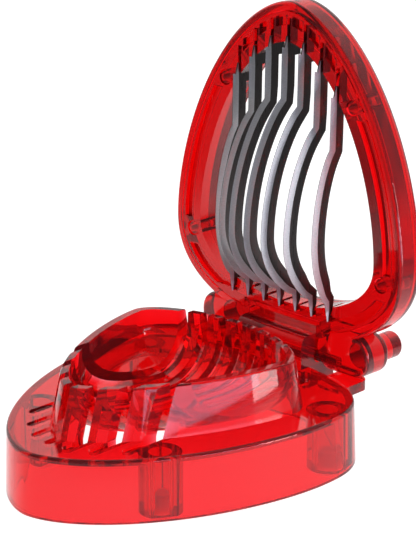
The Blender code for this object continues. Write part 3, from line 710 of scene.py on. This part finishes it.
# %% [markdown]
# ## Clear silicone
# The feet are unfilled silicone rubber: milky and see-through at once, with a soft shine and an IOR of
# 1.41. Some light passes straight through and some is scattered, so transmission is mixed with a little
# scatter. Dust sticks to silicone, which shows as patches about 1 mm wide.

# %% Clear silicone, moulded
DUST_PATCH, SCATTER_DEPTH = 1.111, 2.0
silicone, tree = new_material("silicone_clear_moulded")
place = node(tree, "TexCoord")
dust = node(tree, "TexNoise", {"Scale": per_metre(DUST_PATCH), "Detail": 4.0},
            {"Vector": place.outputs["Object"]})
haze = node(tree, "MapRange", {"To Min": 0.28, "To Max": 0.5}, {"Value": dust.outputs["Fac"]})
tint = node(tree, "MixRGB", {"Color1": colour("#EDE6E4"), "Color2": colour("#FFFFFF")},
            {"Fac": dust.outputs["Fac"]})
rubber = node(tree, "BsdfPrincipled", {"IOR": 1.41, "Transmission Weight": 0.7, "Subsurface Weight": 0.3,
                                       "Subsurface Scale": SCATTER_DEPTH * MM},
              {"Base Color": tint.outputs["Color"], "Roughness": haze.outputs["Result"]})
node(tree, "OutputMaterial", {}, {"Surface": rubber.outputs["BSDF"]})

# %% [markdown]
# ## Fit the pieces to the frame
# Every piece rides on the body that moves it, stands for its own solid, and takes its finishes.

# %% Ride and replace
def fit(piece, materials, body, stands_for):
    for index, material in enumerate(materials):
        if index < len(piece.data.materials):
            piece.data.materials[index] = material
        else:
            piece.data.materials.append(material)
    workshop.objects.unlink(piece)
    bpy.context.scene.collection.objects.link(piece)
    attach(piece, body)
    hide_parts(stands_for)


fit(tray, [red], "base", "base_tray")
fit(shell, [red], "lid", "lid_shell")
fit(ring, [red], "lid", "blade_retainer")
fit(pin, [drawn], "base", "hinge_pin")
for number, piece in enumerate(blades, 1):
    fit(piece, [rolled, ground], "lid", f"blade_{number}")
for name, piece in pads.items():
    fit(piece, [silicone], "base", name)
bpy.data.collections.remove(workshop)

# %% [markdown]
# ## The table
# Clear plastic takes its look from what is behind it and round it. The table is an acrylic sheet of mid grey
# with a faint mottle, and a broad strip of it is given a painted glow: it gives out light of its own, with no
# lamp under it, so that the plastic glows. Away from the strip the grey sheet stays dim, as painted shade in
# front of the slicer and to its sides. The strip runs from under the slicer to the back left. It ends softly
# in front of the slicer and on both sides, because an edge that sees only light has no outline.

# %% Table
TO_FRONT, TO_SIDE, TO_BACK = (0.71, -0.70, 0.0), (0.70, 0.71, 0.0), (-0.71, 0.70, 0.0)
TABLE_HALF = 3.0                                              # metres
PAINTED_GLOW_ENDS, PAINTED_GLOW_SIDES = (0.06, 0.12), (0.1, 0.22)           # metres: where the painted glow starts and stops fading
MOTTLE = 16.67                                                # millimetres, as in the other finishes
table_mesh = bmesh.new()
bmesh.ops.create_grid(table_mesh, x_segments=2, y_segments=2, size=TABLE_HALF)
table_data = bpy.data.meshes.new("table")
table_mesh.to_mesh(table_data)
table_mesh.free()
table = bpy.data.objects.new("table", table_data)
bpy.context.scene.collection.objects.link(table)
painted_glow_table, tree = new_material("table_sheet_painted_glow")
place = node(tree, "TexCoord")
mottle = node(tree, "TexNoise", {"Scale": per_metre(MOTTLE), "Detail": 3.0},
              {"Vector": place.outputs["Object"]})
tint = node(tree, "MixRGB", {"Color1": colour("#8A8A8B"), "Color2": colour("#8E8E8F")},
            {"Fac": mottle.outputs["Fac"]})
ahead = node(tree, "VectorMath", {"operation": "DOT_PRODUCT", 1: TO_FRONT},
             {0: place.outputs["Object"]})
aside = node(tree, "VectorMath", {"operation": "DOT_PRODUCT", 1: TO_SIDE},
             {0: place.outputs["Object"]})
far_aside = node(tree, "Math", {"operation": "ABSOLUTE"}, {0: aside.outputs["Value"]})
fade_ahead = node(tree, "MapRange", {"From Min": PAINTED_GLOW_ENDS[0], "From Max": PAINTED_GLOW_ENDS[1], "To Min": 1.0,
                                     "To Max": 0.0, "interpolation_type": "SMOOTHSTEP"},
                  {"Value": ahead.outputs["Value"]})
fade_aside = node(tree, "MapRange", {"From Min": PAINTED_GLOW_SIDES[0], "From Max": PAINTED_GLOW_SIDES[1], "To Min": 1.0,
                                     "To Max": 0.0, "interpolation_type": "SMOOTHSTEP"},
                  {"Value": far_aside.outputs["Value"]})
painted_glow = node(tree, "Math", {"operation": "MULTIPLY"},
            {0: fade_ahead.outputs["Result"], 1: fade_aside.outputs["Result"]})
# The emission is a painted glow, not a lamp; round it the grey base colour stays dim as painted shade.
sheet = node(tree, "BsdfPrincipled", {"Roughness": 0.6, "Specular IOR Level": 0.2,
                                      "Emission Color": colour("#FFFFFF")},
             {"Base Color": tint.outputs["Color"], "Emission Strength": painted_glow.outputs["Value"]})
node(tree, "OutputMaterial", {}, {"Surface": sheet.outputs["BSDF"]})
table_data.materials.append(painted_glow_table)

# %% [markdown]
# ## The light
# The room is bright at the back left, behind the slicer, and dim at the front right, and the dim side gives
# the clear edges their dark outlines. Two soft lights stand at the right. The wide one is a little blue and
# shines along the near walls, and the narrow one behind it lights the ground bands of the blades.

# %% Room
DIM, BRIGHT, TURN_RANGE = 0.16, 1.0, (-0.1, 0.5)
world = bpy.data.worlds.new("studio")
bpy.context.scene.world = world
world.use_nodes = True
tree = world.node_tree
tree.nodes.clear()
way = node(tree, "TexCoord")
behind = node(tree, "VectorMath", {"operation": "DOT_PRODUCT", 1: TO_BACK},
              {0: way.outputs["Generated"]})
level = node(tree, "MapRange", {"From Min": TURN_RANGE[0], "From Max": TURN_RANGE[1], "To Min": DIM,
                                "To Max": BRIGHT, "interpolation_type": "SMOOTHSTEP"},
             {"Value": behind.outputs["Value"]})
sky = node(tree, "Background", {"Color": colour("#FFFFFF")}, {"Strength": level.outputs["Result"]})
node(tree, "OutputWorld", {}, {"Surface": sky.outputs["Background"]})

# %% Soft lights
def softbox(name, at, towards, width, height, power, tint="#FFFFFF"):
    """A rectangle of light, with its places and sizes in metres and its power in watts."""
    data = bpy.data.lights.new(name, "AREA")
    data.shape, data.size, data.size_y = "RECTANGLE", width, height
    data.energy, data.color = power, colour(tint)[:3]
    made = bpy.data.objects.new(name, data)
    made.location = at
    made.rotation_euler = (Vector(towards) - Vector(at)).to_track_quat("-Z", "Y").to_euler()
    bpy.context.scene.collection.objects.link(made)


softbox("side_right", (0.3, -0.042, 0.042), (0, 0, 0.042), 0.24, 0.08, 0.27, "#D8DCFF")
softbox("rear_right", (0.249, 0.076, 0.062), (0, 0.01, 0.062), 0.06, 0.12, 0.2)

# %% [markdown]
# ## The camera
# A long lens from half a metre away looks down on the slicer from its front right. The room is shown with
# the standard view, which keeps the red as deep as it is. Light crosses many plastic walls before it gets
# out, so it may bounce 32 times.

# %% Camera
LENS, CAMERA_AT, LOOK_DOWN, TURN = 152.94, (0.36909, -0.36353, 0.22903), 19.177, 44.79
MAX_WALLS = 32
camera_data = bpy.data.cameras.new("camera")
camera_data.lens = LENS
camera = bpy.data.objects.new("camera", camera_data)
camera.location = CAMERA_AT
camera.rotation_euler = (math.radians(90 - LOOK_DOWN), 0.0, math.radians(TURN))
bpy.context.scene.collection.objects.link(camera)
bpy.context.scene.camera = camera
bpy.context.scene.view_settings.view_transform = "Standard"
bpy.context.scene.cycles.max_bounces = MAX_WALLS
bpy.context.scene.cycles.transmission_bounces = MAX_WALLS
